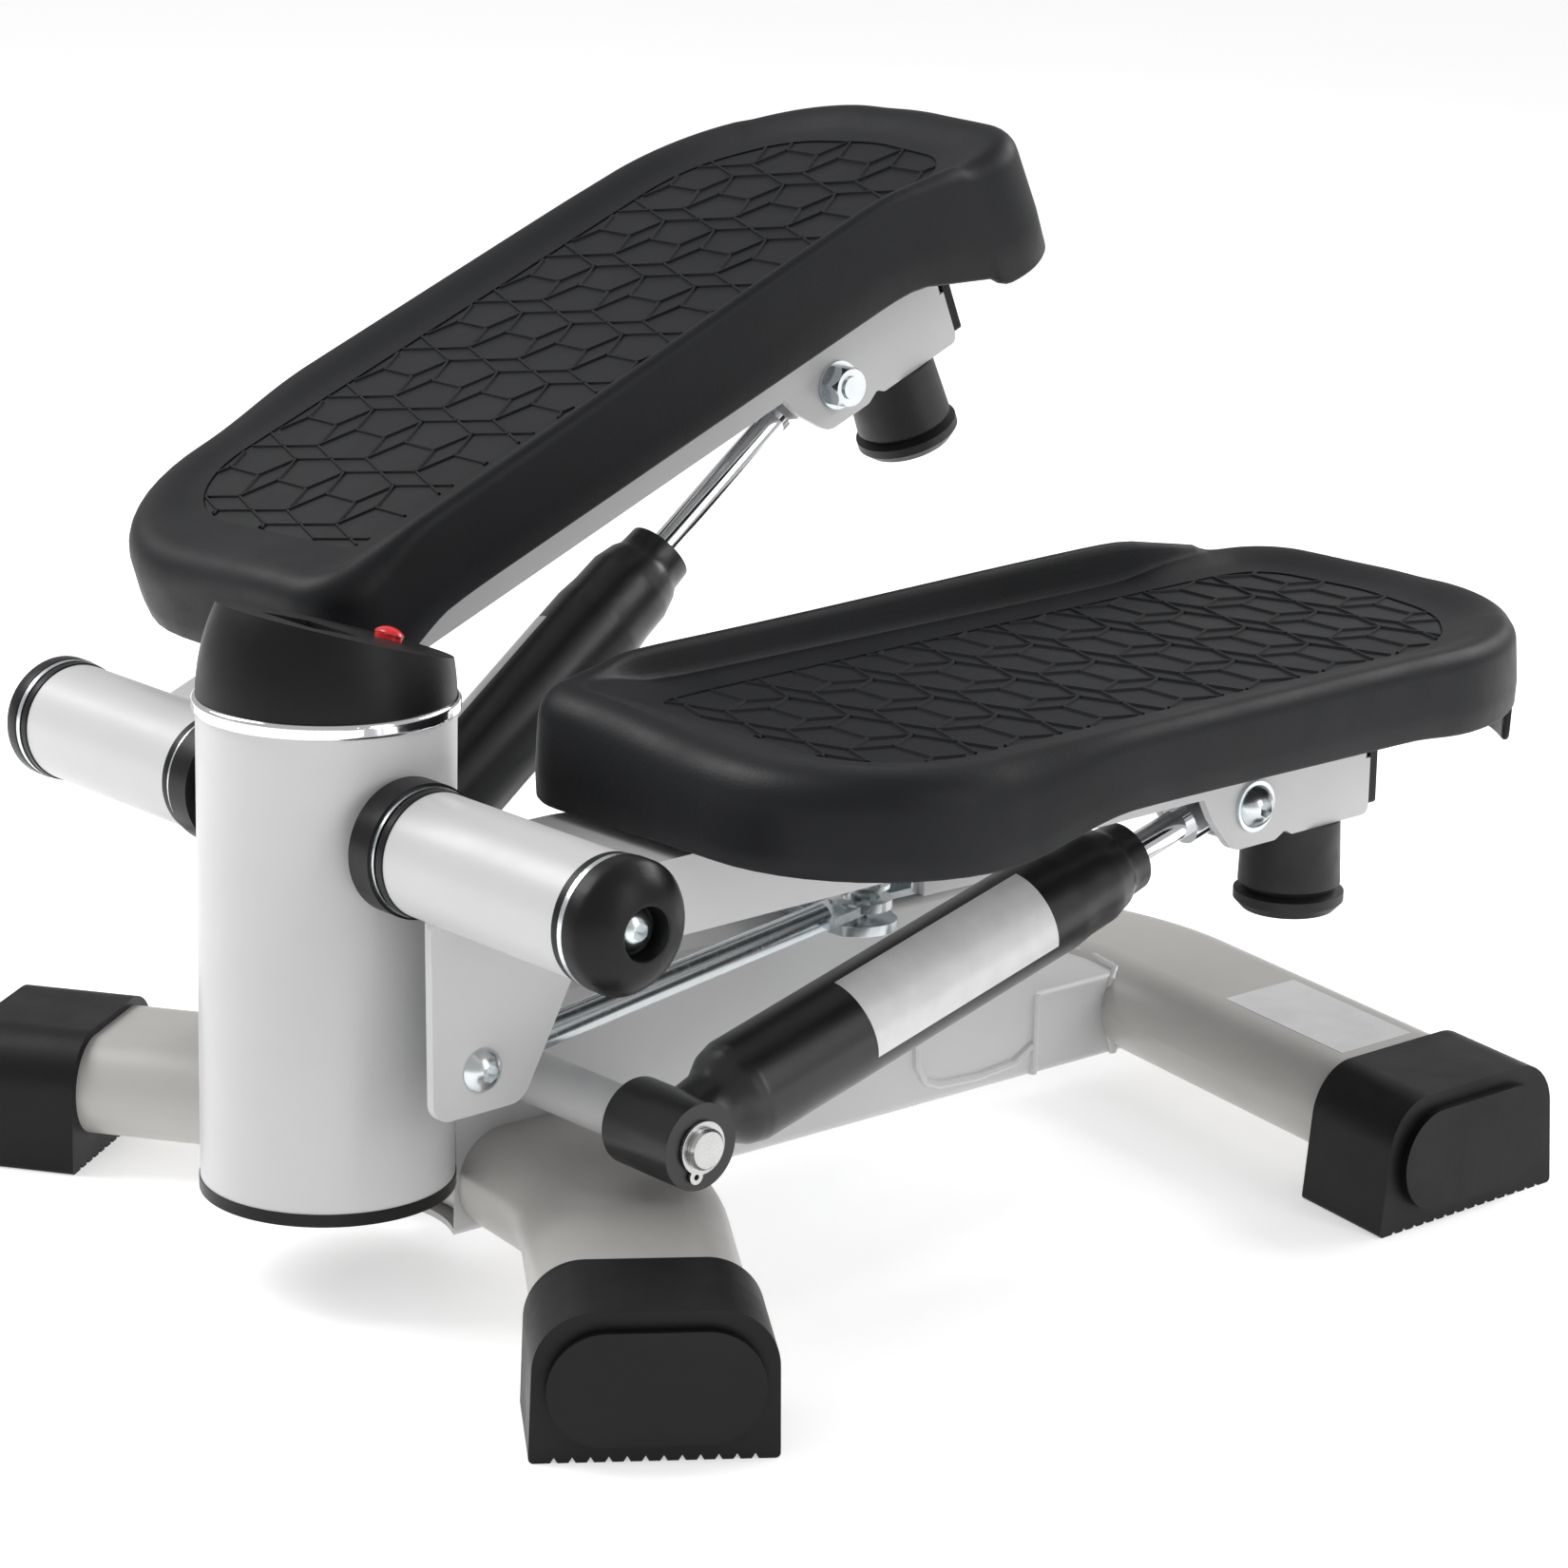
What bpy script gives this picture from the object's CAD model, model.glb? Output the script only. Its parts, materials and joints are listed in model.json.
"""Looks of the mini stepper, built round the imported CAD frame.  Metres, +Z up, post at -Y.

The pedal pieces are drawn in the right pedal's own frame (x outwards, y along the pedal from
its axle, z square to the tray), mirrored for the left one, and turned to their stored angles.
"""
import bpy
import json
import math
from mathutils import Matrix, Vector


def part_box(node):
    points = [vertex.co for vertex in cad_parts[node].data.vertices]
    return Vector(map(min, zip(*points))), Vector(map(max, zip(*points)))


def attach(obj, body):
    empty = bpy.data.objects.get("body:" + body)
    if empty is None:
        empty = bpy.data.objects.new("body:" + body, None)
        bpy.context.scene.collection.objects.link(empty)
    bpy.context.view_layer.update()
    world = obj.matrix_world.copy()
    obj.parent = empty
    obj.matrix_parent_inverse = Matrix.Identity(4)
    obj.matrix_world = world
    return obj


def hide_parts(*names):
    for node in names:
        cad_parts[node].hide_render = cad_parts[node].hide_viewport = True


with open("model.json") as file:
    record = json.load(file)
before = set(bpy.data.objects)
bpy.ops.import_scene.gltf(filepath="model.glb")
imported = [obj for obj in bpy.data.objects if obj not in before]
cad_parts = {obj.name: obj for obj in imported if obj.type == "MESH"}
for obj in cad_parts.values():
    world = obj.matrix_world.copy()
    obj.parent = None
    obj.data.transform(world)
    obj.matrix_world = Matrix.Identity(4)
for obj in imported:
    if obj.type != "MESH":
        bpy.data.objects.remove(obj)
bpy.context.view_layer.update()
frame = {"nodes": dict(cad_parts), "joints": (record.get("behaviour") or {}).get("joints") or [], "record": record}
MM = 0.001
SIDES = ("right", "left")
STORED_ANGLE = {"right": 1.14, "left": 23.28}      # degrees, as the CAD stores the pedals
JOINTS = {j["name"]: j for j in frame["joints"]}
PIVOT = Vector(JOINTS["right_pedal_swing"]["pos_m"])
POST_Y = sum((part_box("post_tube")[i].y for i in (0, 1))) / 2


# ---- materials ------------------------------------------------------------------------
class Shader:
    """A material under construction: one Principled shader fed by procedural nodes."""

    def __init__(self, name, **sockets):
        self.material = bpy.data.materials.new(name)
        self.material.use_nodes = True
        self.nodes = self.material.node_tree.nodes
        self.links = self.material.node_tree.links
        self.bsdf = self.nodes["Principled BSDF"]
        self.bump = None
        for socket, value in sockets.items():
            self.bsdf.inputs[socket.replace("_", " ")].default_value = value
        self.place = self.nodes.new("ShaderNodeTexCoord").outputs["Object"]

    def stretched(self, scale):
        mapping = self.nodes.new("ShaderNodeMapping")
        mapping.inputs["Scale"].default_value = scale
        self.links.new(self.place, mapping.inputs["Vector"])
        return mapping.outputs["Vector"]

    def noise(self, scale, detail=3.0, roughness=0.55, stretch=None):
        """Noise with features about 1/scale metres across."""
        node = self.nodes.new("ShaderNodeTexNoise")
        node.inputs["Scale"].default_value = scale
        node.inputs["Detail"].default_value = detail
        node.inputs["Roughness"].default_value = roughness
        source = self.place if stretch is None else self.stretched(stretch)
        self.links.new(source, node.inputs["Vector"])
        return node.outputs["Fac"]

    def ramp(self, factor, stops):
        node = self.nodes.new("ShaderNodeValToRGB")
        elements = node.color_ramp.elements
        while len(elements) < len(stops):
            elements.new(0.5)
        for element, (at, colour) in zip(elements, stops):
            element.position, element.color = at, (*colour, 1.0)
        self.links.new(factor, node.inputs["Fac"])
        return node.outputs["Color"]

    def span(self, factor, low, high, start=0.3, stop=0.7):
        node = self.nodes.new("ShaderNodeMapRange")
        for socket, value in (("From Min", start), ("From Max", stop), ("To Min", low),
                              ("To Max", high)):
            node.inputs[socket].default_value = value
        self.links.new(factor, node.inputs["Value"])
        return node.outputs["Result"]

    def colour(self, factor, stops):
        self.links.new(self.ramp(factor, stops), self.bsdf.inputs["Base Color"])
        return self

    def rough(self, factor, low, high):
        self.links.new(self.span(factor, low, high), self.bsdf.inputs["Roughness"])
        return self

    def relief(self, height, depth, strength=1.0):
        """Adds bump of the given depth in metres on top of any earlier one."""
        node = self.nodes.new("ShaderNodeBump")
        node.inputs["Distance"].default_value = depth
        node.inputs["Strength"].default_value = strength
        self.links.new(height, node.inputs["Height"])
        if self.bump:
            self.links.new(self.bump, node.inputs["Normal"])
        self.bump = node.outputs["Normal"]
        self.links.new(self.bump, self.bsdf.inputs["Normal"])
        return self


def powder_coat(name, light, dark):
    """Satin powder coat: orange peel, faint cloudiness, a thin clear gloss."""
    s = Shader(name, Roughness=0.42, Coat_Weight=0.25, Coat_Roughness=0.25)
    cloud = s.noise(9.0, 4.0)
    s.colour(cloud, [(0.35, dark), (0.65, light)])
    s.rough(s.noise(60.0), 0.36, 0.48)
    s.relief(s.noise(900.0, 2.0), 0.00006, 0.6)
    return s.relief(s.noise(140.0, 2.0), 0.00012, 0.35).material


def grained_plastic(name, light, dark, grain, depth, roughness):
    """Moulded plastic with a spark-eroded grain and slightly polished patches."""
    s = Shader(name, Roughness=roughness, Specular_IOR_Level=0.22)
    s.colour(s.noise(14.0, 5.0), [(0.3, dark), (0.7, light)])
    s.rough(s.noise(45.0, 4.0), roughness - 0.06, roughness + 0.06)
    s.relief(s.noise(grain, 2.0, 0.6), depth, 0.7)
    return s.relief(s.noise(grain / 5, 3.0), depth * 1.5, 0.25).material


def gloss_black_paint(name):
    s = Shader(name, Roughness=0.38, Coat_Weight=0.25, Coat_Roughness=0.3)
    s.colour(s.noise(20.0, 4.0), [(0.35, (0.006, 0.006, 0.007)), (0.7, (0.011, 0.011, 0.012))])
    s.rough(s.noise(70.0, 4.0), 0.34, 0.42)
    return s.relief(s.noise(260.0, 2.0), 0.00008, 0.35).material


def plated(name, stops, low, high, brushed):
    """Plated or bare metal: tinted patches, and scratches along one direction."""
    s = Shader(name, Metallic=1.0, Roughness=(low + high) / 2)
    s.colour(s.noise(55.0, 4.0), stops)
    fine = s.noise(350.0, 3.0, stretch=brushed)
    s.rough(fine, low, high)
    return s.relief(fine, 0.00001, 0.3).material


def rubber(name):
    s = Shader(name, Roughness=0.5, Specular_IOR_Level=0.4)
    s.colour(s.noise(40.0, 5.0), [(0.3, (0.010, 0.010, 0.010)), (0.7, (0.019, 0.019, 0.019))])
    s.rough(s.noise(90.0), 0.4, 0.58)
    return s.relief(s.noise(1100.0, 2.0), 0.00008, 0.6).material


def red_button():
    s = Shader("red_plastic", Roughness=0.25, Specular_IOR_Level=0.5)
    s.colour(s.noise(120.0), [(0.3, (0.62, 0.012, 0.018)), (0.7, (0.72, 0.02, 0.025))])
    return s.relief(s.noise(900.0), 0.00003, 0.4).material


def clear_window():
    s = Shader("clear_window", Base_Color=(0.55, 0.57, 0.58, 1), Roughness=0.08,
               Transmission_Weight=0.85, IOR=1.49)
    s.rough(s.noise(60.0), 0.05, 0.12)
    return s.material


def display_panel():
    s = Shader("display_panel", Roughness=0.3)
    s.colour(s.noise(200.0, 2.0), [(0.3, (0.16, 0.18, 0.14)), (0.7, (0.20, 0.22, 0.17))])
    return s.material


def blank_label():
    """Plain printed film: white with a faint grey mottle, no lettering."""
    s = Shader("blank_label", Roughness=0.3, Coat_Weight=0.4, Coat_Roughness=0.12)
    s.colour(s.noise(90.0, 4.0), [(0.35, (0.70, 0.70, 0.71)), (0.7, (0.78, 0.78, 0.78))])
    return s.relief(s.noise(300.0), 0.00003, 0.3).material


def circuit_board():
    s = Shader("circuit_board", Roughness=0.4)
    s.colour(s.noise(400.0, 1.0), [(0.45, (0.01, 0.12, 0.05)), (0.55, (0.03, 0.2, 0.09))])
    return s.material


BLUE_ZINC = [(0.3, (0.60, 0.67, 0.71)), (0.5, (0.68, 0.72, 0.74)), (0.75, (0.65, 0.69, 0.68))]
BARE_STEEL = [(0.3, (0.55, 0.55, 0.55)), (0.7, (0.66, 0.66, 0.65))]
BRIGHT_CHROME = [(0.3, (0.80, 0.81, 0.83)), (0.7, (0.86, 0.86, 0.87))]
FINISH = {
    "frame_paint": powder_coat("frame_paint", (0.60, 0.60, 0.605), (0.565, 0.565, 0.57)),
    "bar_paint": powder_coat("bar_paint", (0.50, 0.485, 0.465), (0.46, 0.45, 0.43)),
    "black_plastic": grained_plastic("black_plastic", (0.008, 0.008, 0.008),
                                     (0.005, 0.005, 0.005), 900.0, 0.00005, 0.36),
    "console_plastic": grained_plastic("console_plastic", (0.007, 0.007, 0.007),
                                       (0.004, 0.004, 0.004), 1100.0, 0.00006, 0.42),
    "foot_plastic": grained_plastic("foot_plastic", (0.007, 0.007, 0.0075),
                                    (0.004, 0.004, 0.0045), 1000.0, 0.00006, 0.46),
    "tray_plastic": grained_plastic("tray_plastic", (0.009, 0.0095, 0.0115),
                                    (0.006, 0.0065, 0.0078), 1300.0, 0.00009, 0.50),
    "tread_rubber": grained_plastic("tread_rubber", (0.010, 0.0105, 0.0125),
                                    (0.007, 0.0075, 0.009), 1500.0, 0.00007, 0.55),
    "bumper_rubber": rubber("bumper_rubber"),
    "zinc": plated("zinc", BLUE_ZINC, 0.22, 0.28, (1, 1, 1)),
    "steel": plated("steel", BARE_STEEL, 0.2, 0.35, (1, 8, 8)),
    "chrome": plated("chrome", BRIGHT_CHROME, 0.05, 0.12, (1, 1, 6)),
    "barrel_paint": gloss_black_paint("barrel_paint"),
    "red_plastic": red_button(),
    "lens": clear_window(),
    "display": display_panel(),
    "circuit_board": circuit_board(),
    "cell_steel": plated("cell_steel", BARE_STEEL, 0.15, 0.3, (1, 1, 1)),
}
LABEL = blank_label()


def dress_cad_nodes():
    for part in frame["record"]["subparts"]:
        node = frame["nodes"][part["node"]]
        node.data.materials.clear()
        node.data.materials.append(FINISH[part["material_slot"]])


# ---- mesh helpers ---------------------------------------------------------------------
def add_piece(name, points, faces, body, slot, material=None, replaces=(), smooth_deg=40.0):
    """A mesh piece in the row frame, riding on a body, with its normals facing outwards."""
    mesh = bpy.data.meshes.new(name)
    mesh.from_pydata([tuple(p) for p in points], [], faces)
    mesh.validate()
    piece = bpy.data.objects.new(name, mesh)
    bpy.context.scene.collection.objects.link(piece)
    bpy.context.view_layer.objects.active = piece
    bpy.ops.object.select_all(action="DESELECT")
    piece.select_set(True)
    bpy.ops.object.mode_set(mode="EDIT")
    bpy.ops.mesh.select_all(action="SELECT")
    bpy.ops.mesh.normals_make_consistent(inside=False)
    bpy.ops.object.mode_set(mode="OBJECT")
    mesh.materials.append(material or FINISH[slot])
    bpy.ops.object.shade_smooth_by_angle(angle=math.radians(smooth_deg))
    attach(piece, body)
    if replaces:
        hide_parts(*replaces)
    return piece


def loft(rings, close_first=False, close_last=False):
    """Quads between closed rings of equal length, with optional flat ends."""
    count = len(rings[0])
    points = [p for ring in rings for p in ring]
    faces = [(r * count + i, r * count + (i + 1) % count,
              (r + 1) * count + (i + 1) % count, (r + 1) * count + i)
             for r in range(len(rings) - 1) for i in range(count)]
    if close_first:
        faces.append(tuple(range(count)))
    if close_last:
        faces.append(tuple(range(len(points) - count, len(points))))
    return points, faces


def merged(*parts):
    """Several (points, faces) pairs as one."""
    points, faces = [], []
    for more_points, more_faces in parts:
        start = len(points)
        points += list(more_points)
        faces += [tuple(i + start for i in face) for face in more_faces]
    return points, faces


def slab(x0, x1, y0, y1, z0, z1):
    ring = [(x0, y0), (x1, y0), (x1, y1), (x0, y1)]
    return loft([[Vector((x, y, z)) for x, y in ring] for z in (z0, z1)], True, True)


def on_pedal(point, side):
    """From the pedal's own frame, in metres, to the row frame."""
    x, y, z = point
    a = math.radians(STORED_ANGLE[side])
    sign = 1 if side == "right" else -1
    return Vector((sign * x, PIVOT.y + y * math.cos(a) - z * math.sin(a),
                   PIVOT.z + y * math.sin(a) + z * math.cos(a)))


def smooth(t):
    t = min(max(t, 0.0), 1.0)
    return t * t * (3 - 2 * t)


# ---- pedal tray -----------------------------------------------------------------------
# Corners of the tray's plan in order round it, in mm: place, corner radius, height of the
# crest, radius of the top edge, height of the skirt's bottom edge, share of raised guard,
# and the matching corner of the tread with its radius.
TRAY = [
    ((33.5, 41.5), 22.0, 40.0, 11.0, 6.0, 0.1, (62.0, 76.0), 6.0),
    ((186.0, 41.5), 60.0, 36.0, 12.0, 7.0, 0.0, (162.0, 69.0), 36.0),
    ((186.0, 150.0), 0.0, 38.0, 6.0, 15.0, 0.0, (162.0, 160.0), 0.0),
    ((186.0, 270.0), 0.0, 38.2, 6.0, 14.0, 0.0, (162.0, 262.0), 0.0),
    ((186.0, 320.0), 70.0, 38.0, 6.5, 12.0, 0.0, (162.0, 310.0), 46.0),
    ((144.0, 363.0), 70.0, 37.5, 7.0, -5.0, 0.0, (135.0, 338.0), 46.0),
    ((96.0, 370.0), 90.0, 37.0, 8.0, -6.0, 0.0, (98.0, 345.0), 50.0),
    ((33.5, 364.0), 26.0, 37.5, 8.0, -7.0, 0.0, (57.0, 341.0), 16.0),
    ((33.5, 326.0), 0.0, 38.5, 6.0, -6.0, 0.0, (54.5, 318.0), 0.0),
    ((33.5, 306.0), 0.0, 46.5, 3.5, 13.0, 1.0, (54.5, 300.0), 0.0),
    ((33.5, 84.0), 0.0, 43.0, 4.0, 13.0, 1.0, (60.0, 100.0), 0.0),
]
FLOOR_Z, RECESS_Z, DECK_UNDER_Z = 33.6, 32.7, 28.5
WALL = 3.5
DRAFT, CREST_STEPS = 1.0, 8             # lean of the sides, and steps round the top edge
SEAT_RIBS_Y, SEAT_RIB_HALF, ARM_TOP_Z = (110.0, 175.0, 240.0, 310.0), 6.0, 3.0
ARC_STEPS, RUN_STEP = 12, 7.0
SLOPE = (0.0, 0.05, 0.09, 0.12, 0.145, 0.17, 0.195, 0.22, 0.28, 0.40, 0.56, 0.76, 1.0)
ARM_X = (80.1, 107.7)      # the steel arm under the tray


def rounded_loop(corners, radii, steps):
    """Samples a rounded polygon: arcs at the corners, steps[i] extra points on run i."""
    count = len(corners)
    arcs = []
    for i, (corner, r) in enumerate(zip(corners, radii)):
        p = Vector(corner)
        a = (Vector(corners[i - 1]) - p).normalized()
        b = (Vector(corners[(i + 1) % count]) - p).normalized()
        half = a.angle(b) / 2
        if r == 0 or half > math.radians(89):
            arcs.append([p] if r == 0 else [p] * (ARC_STEPS + 1))
            continue
        centre = p + (a + b).normalized() * (r / math.sin(half))
        start, stop = p + a * (r / math.tan(half)), p + b * (r / math.tan(half))
        turn = (start - centre).angle_signed(stop - centre)
        arcs.append([centre + Matrix.Rotation(-turn * k / ARC_STEPS, 2) @ (start - centre)
                     for k in range(ARC_STEPS + 1)])
    loop = []
    for i, arc in enumerate(arcs):
        following = arcs[(i + 1) % count][0]
        loop += arc
        loop += [arc[-1].lerp(following, (k + 1) / (steps[i] + 1)) for k in range(steps[i])]
    return loop


def along_loop(values, radii, steps):
    """A value for each sample of rounded_loop: held round an arc, eased along a run."""
    out = []
    for i, (value, r) in enumerate(zip(values, radii)):
        following = values[(i + 1) % len(values)]
        out += [value] * (1 if r == 0 else ARC_STEPS + 1)
        out += [value + (following - value) * smooth((k + 1) / (steps[i] + 1))
                for k in range(steps[i])]
    return out


def softened(values, passes):
    for _ in range(passes):
        values = [(values[i - 1] + values[i] + values[(i + 1) % len(values)]) / 3
                  for i in range(len(values))]
    return values


def tray_rings():
    """The tray's rings from under the deck, round the outside and down to the tread."""
    base = [row[0] for row in TRAY]
    radii = [row[1] for row in TRAY]
    runs = [(Vector(base[(i + 1) % len(base)]) - Vector(p)).length for i, p in enumerate(base)]
    steps = [max(1, round((run - 12) / RUN_STEP)) for run in runs]
    outer = rounded_loop(base, radii, steps)
    crest, roll, bottom, guard = (softened(along_loop([row[k] for row in TRAY], radii, steps), 4)
                                  for k in (2, 3, 4, 5))
    tread = rounded_loop([row[6] for row in TRAY],
                         [max(row[7], 0.5) if row[1] else 0 for row in TRAY], steps)
    count = len(outer)
    inward = []
    for i in range(count):
        tangent = (outer[(i + 1) % count] - outer[i - 1]).normalized()
        inward.append(Vector((-tangent.y, tangent.x)))

    def ring(inset_of, height_of):
        return [Vector((*(outer[i] + inward[i] * inset_of(i)), height_of(i)))
                for i in range(count)]

    rings = [ring(lambda i: WALL + 1.5, lambda i: DECK_UNDER_Z),
             ring(lambda i: WALL, lambda i: DECK_UNDER_Z - 1.5),
             ring(lambda i: WALL - 0.6, lambda i: bottom[i] + 1.0),
             ring(lambda i: WALL - 1.2, lambda i: bottom[i]),
             ring(lambda i: 1.2, lambda i: bottom[i]),
             ring(lambda i: 0.5, lambda i: bottom[i] + 0.9),
             ring(lambda i: 0.15, lambda i: bottom[i] * 0.6 + (crest[i] - roll[i]) * 0.4)]
    for k in range(CREST_STEPS + 1):
        turn = math.radians(90 * k / CREST_STEPS)
        rings.append(ring(lambda i: DRAFT + roll[i] * 0.85 * (1 - math.cos(turn)),
                          lambda i: crest[i] - roll[i] * (1 - math.sin(turn))))
    crest_ring = rings[-1]
    for s in SLOPE[1:]:
        gentle = 0.5 + 0.5 * math.cos(math.pi * s)
        steep = 1 - smooth((s - 0.07) / 0.15)
        rings.append([
            Vector((*crest_ring[i].xy.lerp(tread[i], s),
                    FLOOR_Z + (crest[i] - FLOOR_Z) * (steep * guard[i] + gentle * (1 - guard[i]))))
            for i in range(count)])
    rings.append([Vector((*p, RECESS_Z)) for p in tread])
    return rings, tread


def in_metres(parts, side):
    points, faces = parts
    return [on_pedal(Vector(p) * MM, side) for p in points], faces


def make_tray(side, rings):
    seat = [slab(ARM_X[0], ARM_X[1], y - SEAT_RIB_HALF, y + SEAT_RIB_HALF, ARM_TOP_Z,
                 DECK_UNDER_Z + 1) for y in SEAT_RIBS_Y]
    seat += [slab(x, x + 3, 62, 328, 3.2, DECK_UNDER_Z + 1) for x in (ARM_X[0], ARM_X[1] - 3)]
    points, faces = in_metres(merged(loft(rings, True, True), *seat), side)
    return add_piece(f"{side}_tray_shell", points, faces, f"{side}_pedal", "tray_plastic",
                     replaces=(f"{side}_pedal_tray",), smooth_deg=50)


# ---- tread ----------------------------------------------------------------------------
CELL_X, CELL_Y = 26.5, 33.5            # one repeat of the rib pattern, mm
RIB_BAR, RIB_EAR = 8.0, 12.2           # half length of the level rib, height of its corners
RIB_WIDE, RIB_TOP, RIB_HIGH = 1.25, 0.6, 0.75
TREAD_TOP = 33.15
TREAD_MIDDLE, FIRST_CELL = Vector((108.0, 205.0)), Vector((69.0, 97.0))


def rib_segments():
    """The ribs of one cell: a level bar, and two open houses above and below it."""
    half_x, half_y = CELL_X / 2, CELL_Y / 2
    segments = [((-RIB_BAR, 0), (RIB_BAR, 0))]
    for sx in (-1, 1):
        for sy in (-1, 1):
            corner = (sx * half_x, sy * RIB_EAR)
            segments += [((sx * RIB_BAR, 0), corner), (corner, (0, sy * half_y))]
    return segments


def clipped(a, b, outline):
    """The part of segment a-b inside a convex outline, or None."""
    low, high = 0.0, 1.0
    centre = sum(outline, Vector((0, 0))) / len(outline)
    for i, p in enumerate(outline):
        q = outline[(i + 1) % len(outline)]
        edge = q - p
        if edge.length < 1e-6:
            continue
        normal = Vector((-edge.y, edge.x))
        if normal.dot(centre - p) < 0:
            normal = -normal
        start, step = normal.dot(a - p), normal.dot(b - a)
        if abs(step) < 1e-9:
            if start < 0:
                return None
            continue
        t = -start / step
        if step > 0:
            low = max(low, t)
        else:
            high = min(high, t)
    return (a.lerp(b, low), a.lerp(b, high)) if high - low > 0.03 else None


def rib(a, b):
    """A raised rib with sloping sides between two points of the tread."""
    along = (b - a).normalized()
    across = Vector((-along.y, along.x))
    rings = []
    for end, out in ((a, -1), (b, 1)):
        tip = end + along * out * RIB_WIDE * 0.3
        rings.append([Vector((*(tip + across * w / 2), z)) for w, z in
                      ((-RIB_WIDE, TREAD_TOP - 0.2), (-RIB_TOP, TREAD_TOP + RIB_HIGH),
                       (RIB_TOP, TREAD_TOP + RIB_HIGH), (RIB_WIDE, TREAD_TOP - 0.2))])
    return loft(rings, True, True)


def make_tread(side, tread):
    inside = [p + (TREAD_MIDDLE - p).normalized() for p in tread]
    parts = [loft([[Vector((*p, RECESS_Z)) for p in tread],
                   [Vector((*p, TREAD_TOP - 0.2)) for p in tread],
                   [Vector((*p, TREAD_TOP)) for p in inside]], True, True)]
    for column in range(-1, 7):
        for row in range(-1, 9):
            middle = FIRST_CELL + Vector((column * CELL_X, row * CELL_Y))
            for start, stop in rib_segments():
                kept = clipped(middle + Vector(start), middle + Vector(stop), inside)
                if kept:
                    parts.append(rib(*kept))
    points, faces = in_metres(merged(*parts), side)
    return add_piece(f"{side}_tread", points, faces, f"{side}_pedal", "tread_rubber",
                     replaces=(f"{side}_tread_pad",), smooth_deg=20)


def make_pedals():
    rings, tread = tray_rings()
    for side in SIDES:
        make_tray(side, rings)
        make_tread(side, tread)


# ---- welds and labels -----------------------------------------------------------------
BEAD_R, TAB_BEAD_R = 1.5, 1.4
TUBE_SIDE = 20.1           # just proud of the main tube's side
STUB_WELD = ((20.2, 316.5, 9.5), (20.2, 311.5, 24.0), (20.2, 314.5, 36.0), (17.5, 319.0, 38.3),
             (0.0, 323.5, 38.4))
TUBE_END_WELD = ((20.0, 277.8, 37.5), (20.0, 277.8, 9.5))
SIDE_WELD = ((TUBE_SIDE, 222.0, 40.0), (TUBE_SIDE, 223.0, 24.0), (TUBE_SIDE, 227.0, 17.5),
             (TUBE_SIDE, 233.0, 15.0), (TUBE_SIDE, 250.0, 14.0), (TUBE_SIDE, 268.0, 15.5),
             (TUBE_SIDE, 276.5, 20.0))
TAB_WELD = {"x": 61.9, "r": 18.9, "degrees": (-112, -28)}


def round_bead(path, radius, sides=8):
    """A tube of weld metal along a path of points in mm, with faint ripples."""
    rings = []
    for i, p in enumerate(path):
        before, after = path[max(i - 1, 0)], path[min(i + 1, len(path) - 1)]
        along = (after - before).normalized()
        side = along.orthogonal() if i == 0 else side - along * side.dot(along)
        side.normalize()
        lift = along.cross(side)
        r = radius * (1 + 0.07 * math.sin(i * 1.9))
        rings.append([p + (side * math.cos(math.tau * k / sides)
                           + lift * math.sin(math.tau * k / sides)) * r for k in range(sides)])
    return loft(rings, True, True)


def run_of(corners, step=1.5):
    """Points every step mm along straight runs between the corners."""
    points = []
    for a, b in zip(corners, corners[1:]):
        count = max(1, round((b - a).length / step))
        points += [a.lerp(b, k / count) for k in range(count)]
    return points + [corners[-1]]


def to_row(point):
    """From the frame's millimetres, measured from the post axis, to the row frame."""
    return Vector((point.x * MM, point.y * MM + POST_Y, point.z * MM))


def make_welds():
    paths = [[Vector((sign * x, y, z)) for x, y, z in corners]
             for sign in (-1, 1) for corners in (STUB_WELD, TUBE_END_WELD, SIDE_WELD)]
    points, faces = merged(*[round_bead(run_of(path), BEAD_R) for path in paths])
    add_piece("frame_welds", [to_row(p) for p in points], faces, "root", "frame_paint")
    for side in SIDES:
        arc = []
        for degrees in range(*TAB_WELD["degrees"], 4):
            a = math.radians(degrees)
            arc.append(Vector((TAB_WELD["x"], TAB_WELD["r"] * math.cos(a),
                               TAB_WELD["r"] * math.sin(a))))
        points, faces = in_metres(round_bead(arc, TAB_BEAD_R), side)
        add_piece(f"{side}_tab_weld", points, faces, f"{side}_pedal", "frame_paint")


BARREL_R, LABEL_LIFT, LABEL_UNDER = 16.5, 0.12, 0.02
BARREL_LABEL = {"along": (69.0, 146.0), "round": (-18, 84)}      # mm and degrees from outwards
BAR_LABEL = {"x": (69.0, 131.0), "half": 17.0, "sweep": 10.6, "y": 348.3, "z": 41.0}


def make_barrel_label(side):
    base = Vector(JOINTS[f"{side}_cylinder_tilt"]["pos_m"])
    along = Vector(JOINTS[f"{side}_rod_slide"]["axis"]).normalized()
    outwards = Vector((1 if side == "right" else -1, 0, 0))
    upwards = Vector((1, 0, 0)).cross(along)
    start, stop = BARREL_LABEL["round"]
    rings = []
    for s in BARREL_LABEL["along"]:
        inner, outer = [], []
        for degrees in range(start, stop + 1, 3):
            a = math.radians(degrees)
            ray = outwards * math.cos(a) + upwards * math.sin(a)
            spot = base + along * s * MM
            outer.append(spot + ray * (BARREL_R + LABEL_LIFT) * MM)
            inner.append(spot + ray * (BARREL_R + LABEL_UNDER) * MM)
        rings.append(outer + inner[::-1])
    points, faces = loft(rings, True, True)
    add_piece(f"{side}_barrel_label", points, faces, f"{side}_barrel", "barrel_paint", LABEL)


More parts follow.
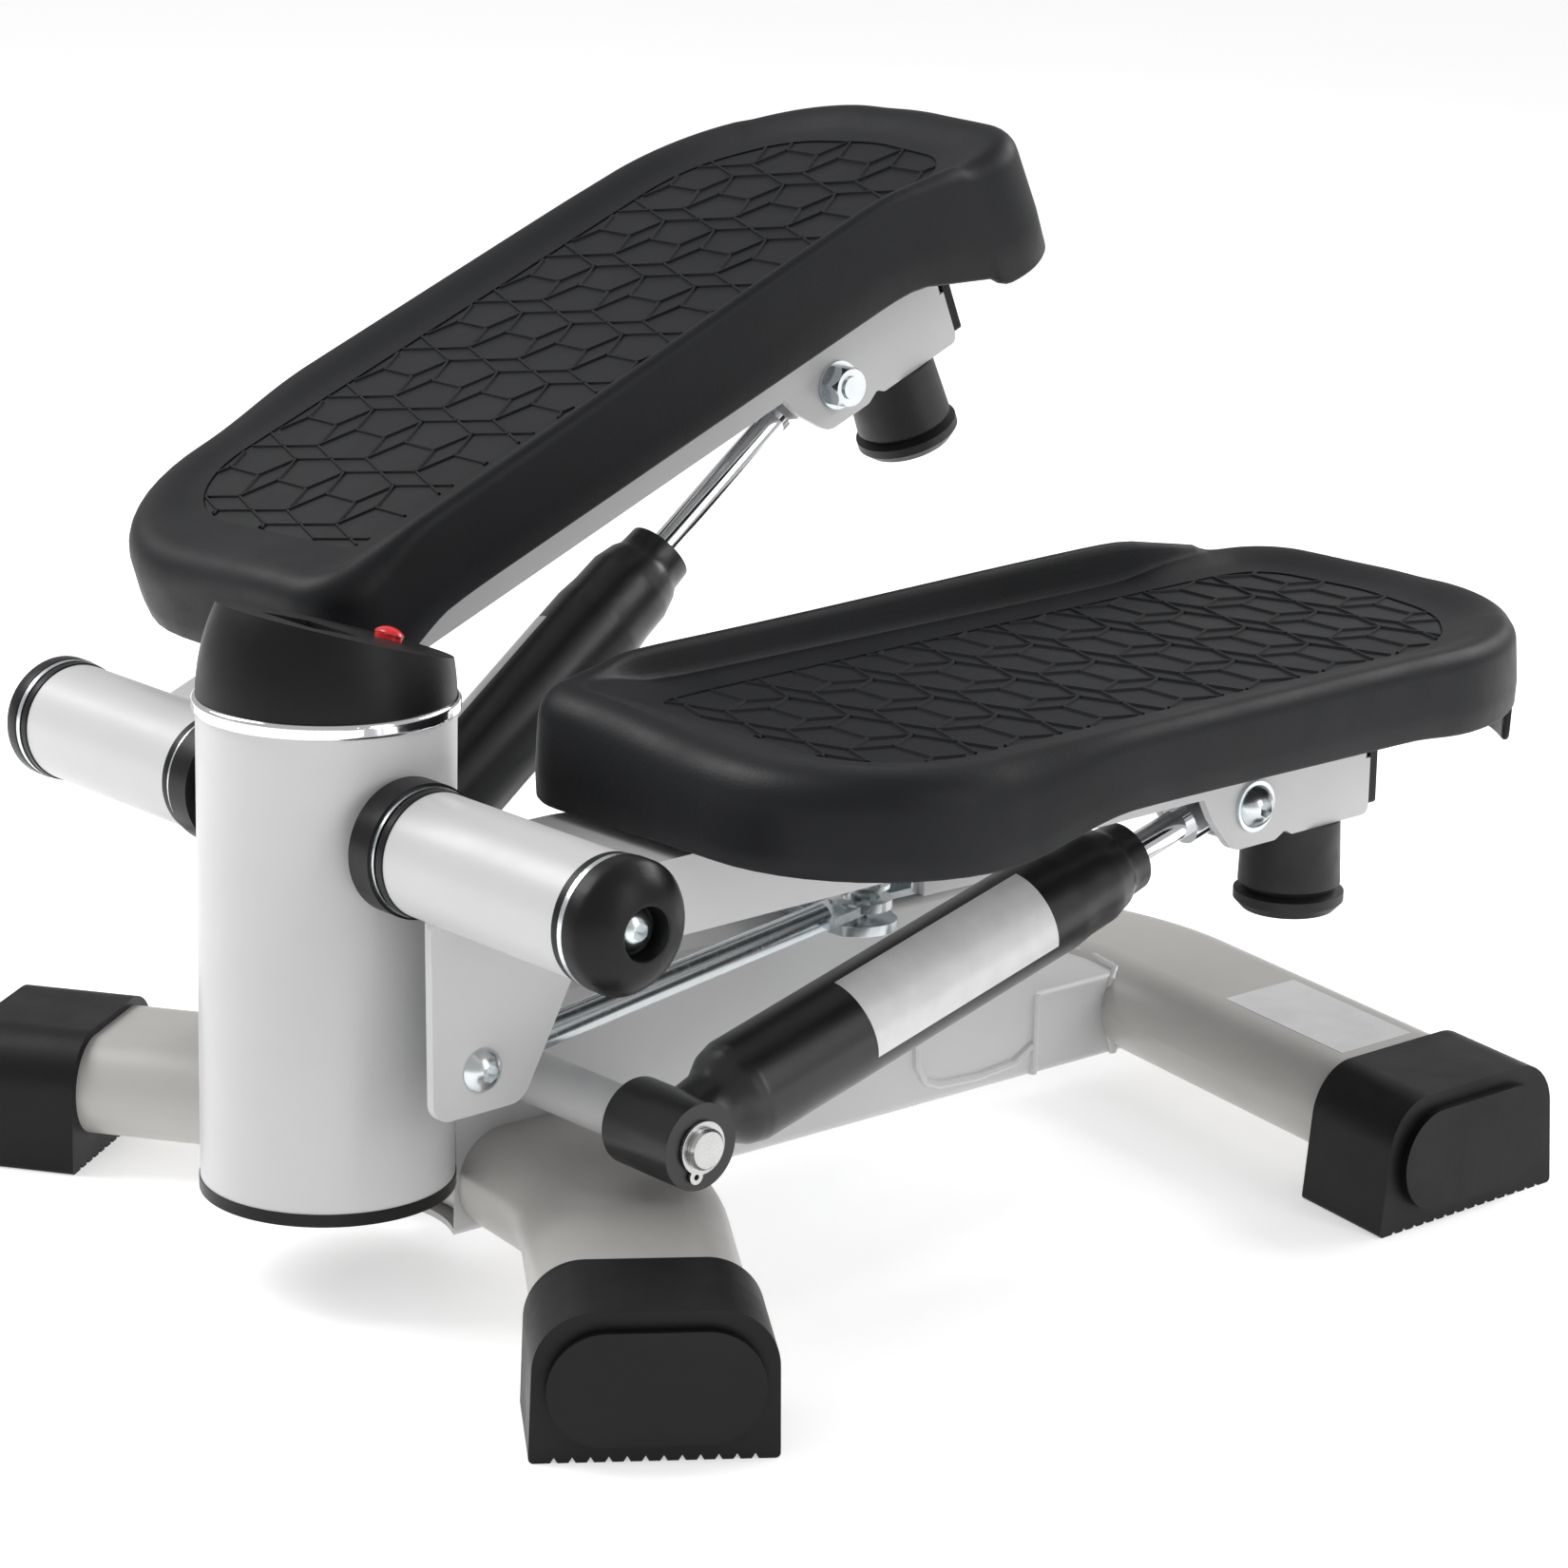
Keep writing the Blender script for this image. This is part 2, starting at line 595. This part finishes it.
def make_bar_label():
    place = BAR_LABEL
    lean = math.tan(math.radians(place["sweep"]))
    x0, x1 = place["x"]
    corners = [(x, place["y"] - x * lean + end * place["half"])
               for x, end in ((x0, -1), (x1, -1), (x1, 1), (x0, 1))]
    rings = [[to_row(Vector((x, y, place["z"] + lift))) for x, y in corners]
             for lift in (LABEL_UNDER, LABEL_LIFT)]
    points, faces = loft(rings, True, True)
    add_piece("rear_bar_label", points, faces, "root", "bar_paint", LABEL)


# ---- edges of the CAD nodes -----------------------------------------------------------
SOFT_EDGES = {     # node: width of the rounded edge, mm
    "front_right_foot": 2.2, "front_left_foot": 2.2, "rear_right_foot": 2.2,
    "rear_left_foot": 2.2, "main_tube": 0.6, "rear_block": 0.6, "rear_stub": 0.5,
    "rocker_plate": 0.4, "rocker_bracket": 0.4, "pivot_end_caps": 0.7, "saddle_spacers": 0.6,
    "post_base_ring": 0.7,
}
PEDAL_SOFT_EDGES = {"arm": 0.5, "crank_tab": 0.5, "cylinder_bracket": 0.5, "bumper": 0.8,
                    "cylinder_barrel": 0.9, "arm_end_cap": 0.5, "pivot_bushes": 0.4}


def soften_edges():
    """Small rounds on the sharp edges of the CAD nodes, so that they catch the light."""
    widths = dict(SOFT_EDGES)
    for side in SIDES:
        widths.update({f"{side}_{name}": w for name, w in PEDAL_SOFT_EDGES.items()})
    for name, width in widths.items():
        node = frame["nodes"][name]
        weld = node.modifiers.new("weld", "WELD")
        weld.merge_threshold = 0.00001
        bevel = node.modifiers.new("bevel", "BEVEL")
        bevel.width, bevel.segments = width * MM, 3
        bevel.limit_method, bevel.angle_limit = "ANGLE", math.radians(38)
        bevel.harden_normals = False
        normals = node.modifiers.new("normals", "WEIGHTED_NORMAL")
        normals.keep_sharp = True


# ---- studio ---------------------------------------------------------------------------
CAMERA_AT = Vector((0.98337, -0.87237, 0.48291))
CAMERA_AZIMUTH, CAMERA_ELEVATION, CAMERA_ROLL = 48.148, 15.250, 1.469    # degrees
CAMERA_LENS, SENSOR = 97.92, 36.0
FLOOR_HALF, FLOOR_GLOW, SKY = 6.0, 0.50, 0.50


def make_camera():
    azimuth, elevation = math.radians(CAMERA_AZIMUTH), math.radians(CAMERA_ELEVATION)
    back = Vector((math.sin(azimuth) * math.cos(elevation),
                   -math.cos(azimuth) * math.cos(elevation), math.sin(elevation)))
    right = Vector((math.cos(azimuth), math.sin(azimuth), 0))
    up = back.cross(right)
    turn = Matrix.Rotation(math.radians(CAMERA_ROLL), 3, "Z")
    data = bpy.data.cameras.new("camera")
    data.lens, data.sensor_width = CAMERA_LENS, SENSOR
    camera = bpy.data.objects.new("camera", data)
    rotation = Matrix((right, up, back)).transposed() @ turn
    camera.matrix_world = Matrix.Translation(CAMERA_AT) @ rotation.to_4x4()
    bpy.context.scene.collection.objects.link(camera)
    bpy.context.scene.camera = camera


def area_light(name, place, size, power, colour=(1, 1, 1), target=(0, 0, 0.14)):
    data = bpy.data.lights.new(name, "AREA")
    data.shape, data.size, data.size_y = "RECTANGLE", size[0], size[1]
    data.energy, data.color = power, colour
    light = bpy.data.objects.new(name, data)
    light.location = place
    light.rotation_euler = (Vector(target) - Vector(place)).to_track_quat("-Z", "Y").to_euler()
    bpy.context.scene.collection.objects.link(light)


def make_studio():
    floor_material = Shader("studio_floor", Roughness=0.9)
    floor_material.colour(floor_material.noise(2.0), [(0.3, (0.86, 0.86, 0.86)),
                                                      (0.7, (0.88, 0.88, 0.88))])
    floor_material.bsdf.inputs["Emission Color"].default_value = (1, 1, 1, 1)
    floor_material.bsdf.inputs["Emission Strength"].default_value = FLOOR_GLOW
    half = FLOOR_HALF
    mesh = bpy.data.meshes.new("studio_floor")
    mesh.from_pydata([(-half, -half, 0), (half, -half, 0), (half, half, 0), (-half, half, 0)],
                     [], [(0, 1, 2, 3)])
    floor = bpy.data.objects.new("studio_floor", mesh)
    mesh.materials.append(floor_material.material)
    bpy.context.scene.collection.objects.link(floor)
    world = bpy.data.worlds.new("studio_world")
    world.use_nodes = True
    world.node_tree.nodes["Background"].inputs["Color"].default_value = (1, 1, 1, 1)
    world.node_tree.nodes["Background"].inputs["Strength"].default_value = SKY
    bpy.context.scene.world = world
    bpy.context.scene.view_settings.view_transform = "Standard"
    area_light("key", (-1.3, -0.9, 1.7), (1.2, 1.2), 32)
    area_light("rim", (0.3, 1.9, 1.3), (1.6, 0.8), 24)
    area_light("side", (1.7, 0.3, 0.9), (0.5, 1.4), 8)


dress_cad_nodes()
make_pedals()
make_welds()
for side in SIDES:
    make_barrel_label(side)
make_bar_label()
soften_edges()
make_studio()
make_camera()
